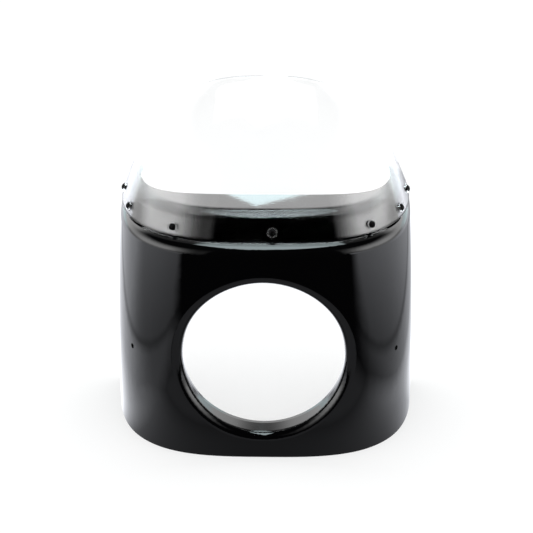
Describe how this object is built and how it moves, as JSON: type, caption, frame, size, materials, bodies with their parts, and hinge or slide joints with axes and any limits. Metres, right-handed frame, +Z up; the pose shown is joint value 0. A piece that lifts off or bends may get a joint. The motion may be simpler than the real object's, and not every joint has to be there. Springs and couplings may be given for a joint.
{
  "type": "headlight cowl",
  "caption": "Gloss-black moulded motorbike headlight cowl with a round lamp opening, stepped flange and screwed-on clear bubble windscreen.",
  "frame": {"origin": "on the lamp axis, midway along the straight land of the lamp opening", "axes": "+Y along the lamp axis towards the open back, so the front faces -Y; +Z up; +X to the right as seen from the front"},
  "size_m": [0.3202, 0.1595, 0.3687],
  "materials": {
    "cowl_shell": "high-gloss black",
    "windscreen": "clear polished acrylic",
    "screen_screws": "black plated steel",
    "nylon_washers": "natural nylon",
    "flat_washers": "zinc plated",
    "lock_nuts": "zinc plated"
  },
  "bodies": {
    "root": {"cowl_shell": "cowl_shell", "windscreen": "windscreen", "screen_screws": "screen_screws", "nylon_washers": "nylon_washers", "flat_washers": "flat_washers", "lock_nuts": "lock_nuts"}
  },
  "joints": []
}
